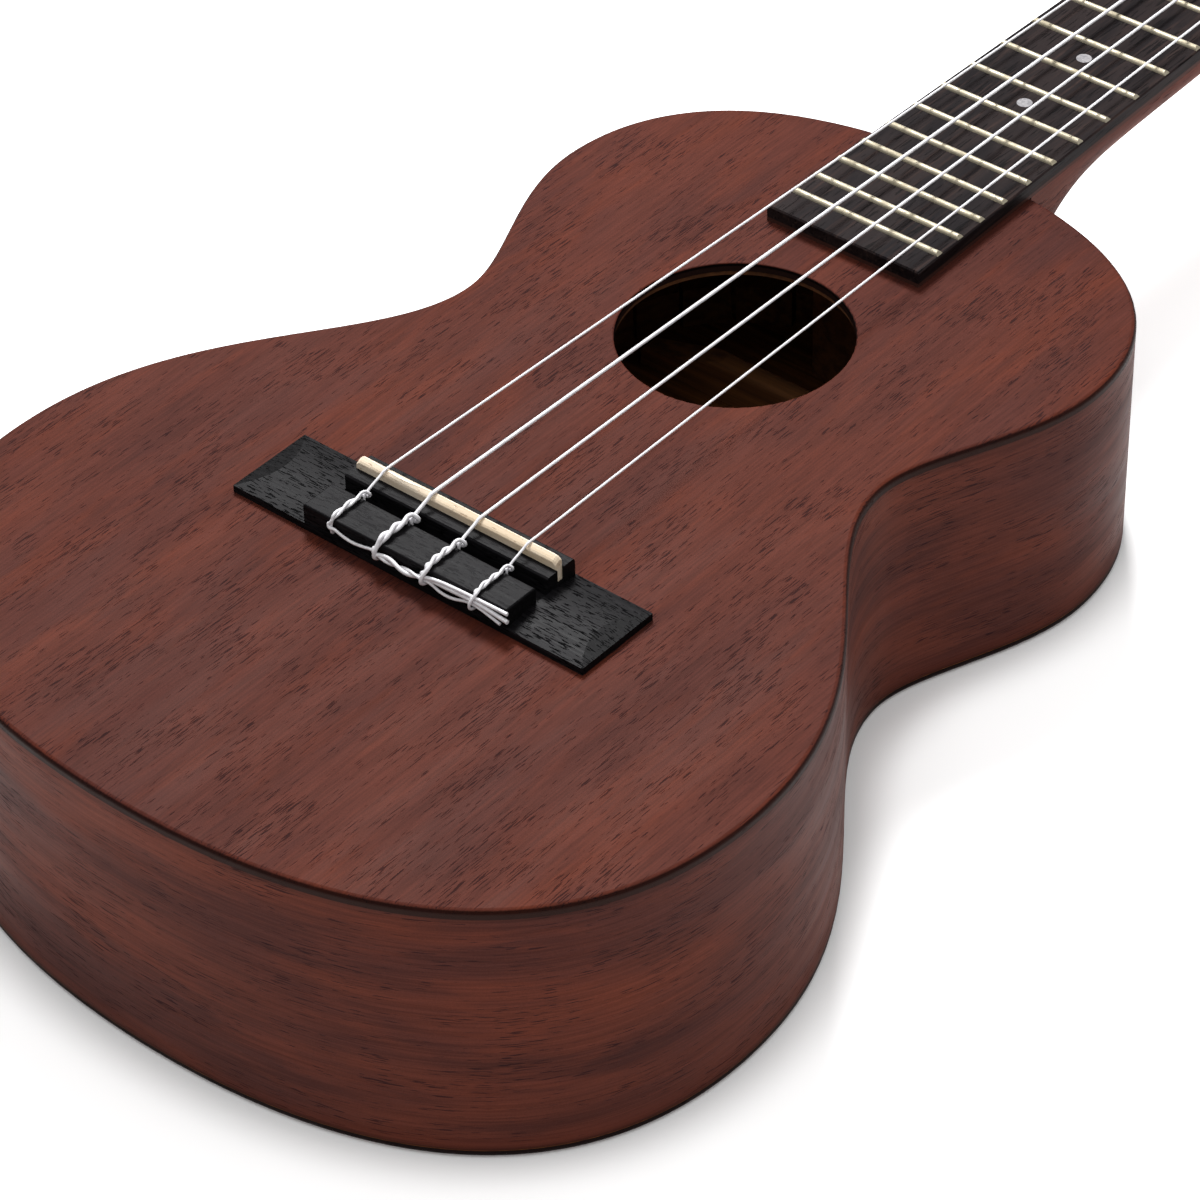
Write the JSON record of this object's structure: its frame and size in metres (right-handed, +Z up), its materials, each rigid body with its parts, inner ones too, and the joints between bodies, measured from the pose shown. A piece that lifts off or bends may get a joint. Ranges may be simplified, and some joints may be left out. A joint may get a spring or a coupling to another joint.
{
  "type": "ukulele",
  "caption": "Small plucked string instrument: hollow waisted wooden body with a round soundhole, tie bridge, fretted neck and geared tuners on a tilted headstock.",
  "frame": {"origin": "middle of the flat back's outer face, on the centre line, halfway between tail and neck joint", "axes": "+X across towards the a string, +Y along the neck towards the headstock, +Z up out of the back towards the strings"},
  "size_m": [0.2288, 0.6886, 0.0843],
  "materials": {
    "mahogany_top": "satin open-pored reddish-brown stained mahogany, grain along the body",
    "mahogany_shell": "satin reddish-brown stained mahogany, grain around the sides",
    "mahogany_neck": "satin reddish-brown stained mahogany, grain along the neck",
    "rosewood": "dark satin rosewood with fine pores",
    "black_stained_wood": "matte black-stained open-pored wood",
    "inside_wood": "plain unfinished light wood",
    "bone": "polished cream bone",
    "nickel_silver": "polished nickel silver",
    "pearl": "white pearl",
    "plated_steel": "bright plated steel",
    "brass_gear": "machined brass",
    "button_plastic": "glossy black plastic",
    "nylon": "translucent white nylon"
  },
  "bodies": {
    "instrument": {"back_braces": "inside_wood", "back_lining_bass": "inside_wood", "back_lining_treble": "inside_wood", "back_plate": "mahogany_shell", "back_strip": "inside_wood", "bridge": "black_stained_wood", "bridge_patch": "inside_wood", "fan_braces": "inside_wood", "fretboard": "rosewood", "frets": "nickel_silver", "headstock_veneer": "rosewood", "lower_face_brace": "inside_wood", "neck": "mahogany_neck", "neck_block": "inside_wood", "neck_dowels": "inside_wood", "nut": "bone", "plate_screws": "plated_steel", "position_dots": "pearl", "post_bushings": "plated_steel", "saddle": "bone", "side_bass": "mahogany_shell", "side_treble": "mahogany_shell", "soundboard": "mahogany_top", "soundhole_ring": "inside_wood", "string_a": "nylon", "string_c": "nylon", "string_e": "nylon", "string_g": "nylon", "tail_block": "inside_wood", "top_lining_bass": "inside_wood", "top_lining_treble": "inside_wood", "tuner_plate_a": "plated_steel", "tuner_plate_c": "plated_steel", "tuner_plate_e": "plated_steel", "tuner_plate_g": "plated_steel", "upper_face_brace": "inside_wood"},
    "post_g": {"string_post_g": "plated_steel", "worm_wheel_g": "brass_gear", "wheel_screw_g": "plated_steel", "string_coil_g": "nylon"},
    "knob_g": {"worm_shaft_g": "plated_steel", "tuner_button_g": "button_plastic"},
    "post_c": {"string_post_c": "plated_steel", "worm_wheel_c": "brass_gear", "wheel_screw_c": "plated_steel", "string_coil_c": "nylon"},
    "knob_c": {"worm_shaft_c": "plated_steel", "tuner_button_c": "button_plastic"},
    "post_e": {"string_post_e": "plated_steel", "worm_wheel_e": "brass_gear", "wheel_screw_e": "plated_steel", "string_coil_e": "nylon"},
    "knob_e": {"worm_shaft_e": "plated_steel", "tuner_button_e": "button_plastic"},
    "post_a": {"string_post_a": "plated_steel", "worm_wheel_a": "brass_gear", "wheel_screw_a": "plated_steel", "string_coil_a": "nylon"},
    "knob_a": {"worm_shaft_a": "plated_steel", "tuner_button_a": "button_plastic"}
  },
  "joints": [
    {"name": "post_turn_g", "type": "hinge", "parent": "instrument", "child": "post_g", "pos_m": [-0.017, 0.43218, 0.03182], "axis": [0, 0.2403, 0.9707], "continuous": true},
    {"name": "knob_turn_g", "type": "hinge", "parent": "instrument", "child": "knob_g", "pos_m": [-0.017, 0.42422, 0.03379], "axis": [1, 0, 0], "continuous": true},
    {"name": "post_turn_c", "type": "hinge", "parent": "instrument", "child": "post_c", "pos_m": [-0.017, 0.48072, 0.01981], "axis": [0, 0.2403, 0.9707], "continuous": true},
    {"name": "knob_turn_c", "type": "hinge", "parent": "instrument", "child": "knob_c", "pos_m": [-0.017, 0.47276, 0.02178], "axis": [1, 0, 0], "continuous": true},
    {"name": "post_turn_e", "type": "hinge", "parent": "instrument", "child": "post_e", "pos_m": [0.017, 0.48072, 0.01981], "axis": [0, 0.2403, 0.9707], "continuous": true},
    {"name": "knob_turn_e", "type": "hinge", "parent": "instrument", "child": "knob_e", "pos_m": [0.017, 0.47276, 0.02178], "axis": [1, 0, 0], "continuous": true},
    {"name": "post_turn_a", "type": "hinge", "parent": "instrument", "child": "post_a", "pos_m": [0.017, 0.43218, 0.03182], "axis": [0, 0.2403, 0.9707], "continuous": true},
    {"name": "knob_turn_a", "type": "hinge", "parent": "instrument", "child": "knob_a", "pos_m": [0.017, 0.42422, 0.03379], "axis": [1, 0, 0], "continuous": true}
  ],
  "couplings": [
    {"joint": "knob_turn_g", "follows": "post_turn_g", "ratio": -14},
    {"joint": "knob_turn_c", "follows": "post_turn_c", "ratio": -14},
    {"joint": "knob_turn_e", "follows": "post_turn_e", "ratio": -14},
    {"joint": "knob_turn_a", "follows": "post_turn_a", "ratio": -14}
  ]
}
